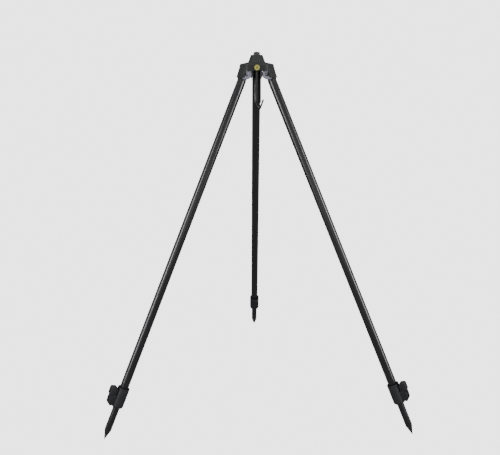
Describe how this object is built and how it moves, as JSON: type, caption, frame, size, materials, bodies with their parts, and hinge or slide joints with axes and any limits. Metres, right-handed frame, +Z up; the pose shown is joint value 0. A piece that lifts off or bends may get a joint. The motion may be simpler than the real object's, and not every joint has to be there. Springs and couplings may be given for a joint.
{
  "type": "tripod hanging stand",
  "caption": "Three-legged hanging stand: clevis head with a swivelling wire hook, telescopic tube legs with cam clamps and pointed ground spikes.",
  "frame": {"origin": "on the ground under the head's axis, midway between the three spike points", "axes": "+Z up along the head's axis, +Y towards the rear leg, -Y towards the badge"},
  "size_m": [0.9034, 0.785, 1.0852],
  "materials": {
    "black_nylon": "fine moulded texture",
    "guide_nylon": "moulded",
    "black_tube": "satin black anodised",
    "spike_black": "black anodised, turned",
    "cast_grey": "as cast, light grey",
    "dark_zinc": "black zinc",
    "black_steel": "gloss black coat",
    "badge_olive": "pale olive insert",
    "badge_dark": "dark olive insert"
  },
  "bodies": {
    "head": {"head_cover": "black_nylon", "badge_plate": "badge_olive", "badge_inlay": "badge_dark", "hub_core": "cast_grey", "hanger_stud": "dark_zinc", "top_washer": "dark_zinc", "top_nut": "dark_zinc", "hanger_barrel": "black_tube", "pivot_bolt_rear": "dark_zinc", "pivot_nut_rear": "dark_zinc", "pivot_bolt_left": "dark_zinc", "pivot_nut_left": "dark_zinc", "pivot_bolt_right": "dark_zinc", "pivot_nut_right": "dark_zinc"},
    "hook": {"hook": "black_steel"},
    "leg_rear": {"leg_knuckle_rear": "black_nylon", "knuckle_rivet_rear": "dark_zinc", "upper_tube_rear": "black_tube", "lock_collar_rear": "black_nylon", "collar_screw_rear": "dark_zinc", "brake_pad_rear": "guide_nylon", "lever_pin_rear": "dark_zinc"},
    "lower_leg_rear": {"lower_tube_rear": "black_tube", "guide_bush_rear": "guide_nylon", "foot_spike_rear": "spike_black"},
    "lever_rear": {"cam_lever_rear": "black_nylon"},
    "leg_left": {"leg_knuckle_left": "black_nylon", "knuckle_rivet_left": "dark_zinc", "upper_tube_left": "black_tube", "lock_collar_left": "black_nylon", "collar_screw_left": "dark_zinc", "brake_pad_left": "guide_nylon", "lever_pin_left": "dark_zinc"},
    "lower_leg_left": {"lower_tube_left": "black_tube", "guide_bush_left": "guide_nylon", "foot_spike_left": "spike_black"},
    "lever_left": {"cam_lever_left": "black_nylon"},
    "leg_right": {"leg_knuckle_right": "black_nylon", "knuckle_rivet_right": "dark_zinc", "upper_tube_right": "black_tube", "lock_collar_right": "black_nylon", "collar_screw_right": "dark_zinc", "brake_pad_right": "guide_nylon", "lever_pin_right": "dark_zinc"},
    "lower_leg_right": {"lower_tube_right": "black_tube", "guide_bush_right": "guide_nylon", "foot_spike_right": "spike_black"},
    "lever_right": {"cam_lever_right": "black_nylon"}
  },
  "joints": [
    {"name": "hook_swivel", "type": "hinge", "parent": "head", "child": "hook", "pos_m": [0, 0, 0.94186], "axis": [0, 0, 1], "continuous": true},
    {"name": "leg_fold_rear", "type": "hinge", "parent": "head", "child": "leg_rear", "pos_m": [0, 0.042, 1.02256], "axis": [-1, 0, 0], "range_deg": [0, 25.1]},
    {"name": "leg_extend_rear", "type": "slide", "parent": "leg_rear", "child": "lower_leg_rear", "axis": [0, 0.4242, -0.9056], "range_m": [0, 0.8]},
    {"name": "lever_open_rear", "type": "hinge", "parent": "leg_rear", "child": "lever_rear", "pos_m": [0, 0.48796, 0.12476], "axis": [-1, 0, 0], "range_deg": [0, 65]},
    {"name": "leg_fold_left", "type": "hinge", "parent": "head", "child": "leg_left", "pos_m": [-0.03637, -0.021, 1.02256], "axis": [0.5, -0.866, 0], "range_deg": [0, 25.1]},
    {"name": "leg_extend_left", "type": "slide", "parent": "leg_left", "child": "lower_leg_left", "axis": [-0.3674, -0.2121, -0.9056], "range_m": [0, 0.8]},
    {"name": "lever_open_left", "type": "hinge", "parent": "leg_left", "child": "lever_left", "pos_m": [-0.42258, -0.24398, 0.12476], "axis": [0.5, -0.866, 0], "range_deg": [0, 65]},
    {"name": "leg_fold_right", "type": "hinge", "parent": "head", "child": "leg_right", "pos_m": [0.03637, -0.021, 1.02256], "axis": [0.5, 0.866, 0], "range_deg": [0, 25.1]},
    {"name": "leg_extend_right", "type": "slide", "parent": "leg_right", "child": "lower_leg_right", "axis": [0.3674, -0.2121, -0.9056], "range_m": [0, 0.8]},
    {"name": "lever_open_right", "type": "hinge", "parent": "leg_right", "child": "lever_right", "pos_m": [0.42258, -0.24398, 0.12476], "axis": [0.5, 0.866, 0], "range_deg": [0, 65]}
  ]
}
